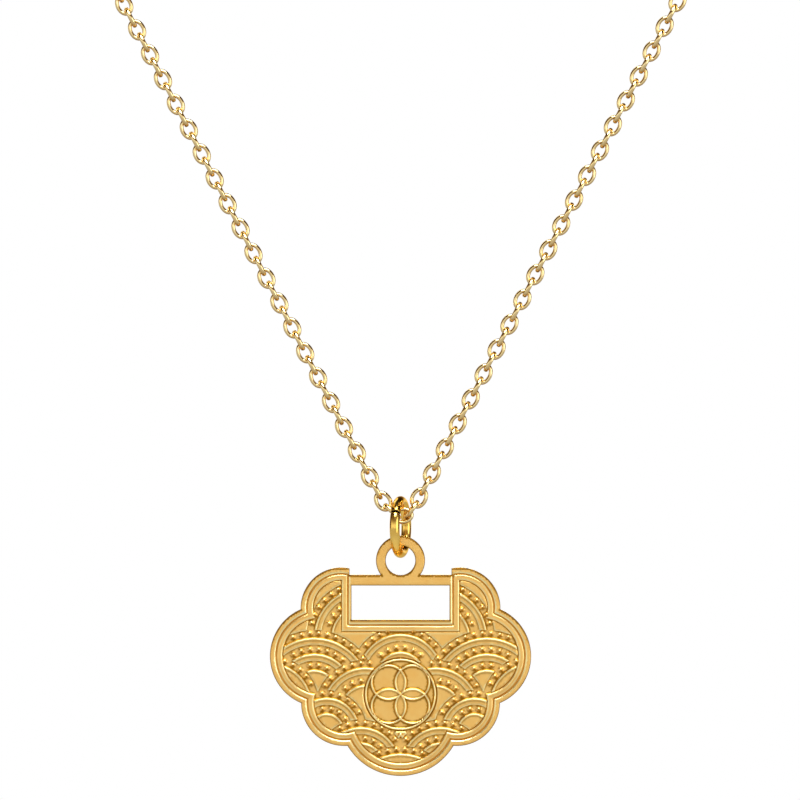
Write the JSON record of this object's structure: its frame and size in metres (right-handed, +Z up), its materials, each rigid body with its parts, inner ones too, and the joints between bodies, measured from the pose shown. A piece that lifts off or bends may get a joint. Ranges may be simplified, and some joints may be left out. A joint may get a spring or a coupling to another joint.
{
  "type": "lock pendant on a cable chain necklace",
  "caption": "Lock-shaped pendant with raised wave scales and a round medallion, hung by a jump ring on a cable chain with a ring clasp.",
  "frame": {"origin": "where the chain's clasp lies on the nape of the neck", "axes": "+Z up, the pendant hangs in front at -Y, +X to the right of someone who faces the pendant"},
  "size_m": [0.1096, 0.1078, 0.1467],
  "materials": {
    "plate": "satin gold",
    "ring": "polished gold",
    "chain": "polished gold",
    "clasp": "polished gold"
  },
  "bodies": {
    "necklace": {"chain_front": "chain", "chain_back": "chain", "clasp": "clasp"},
    "ring": {"jump_ring": "ring"},
    "lock": {"lock_plate": "plate"}
  },
  "joints": [
    {"name": "ring_swing", "type": "hinge", "parent": "necklace", "child": "ring", "pos_m": [0, -0.104, -0.11736], "axis": [1, 0, 0], "range_deg": [-55, 30]},
    {"name": "pendant_swing", "type": "hinge", "parent": "ring", "child": "lock", "pos_m": [0, -0.104, -0.12175], "axis": [-0.225, -0.9744, 0], "range_deg": [-60, 60]}
  ]
}
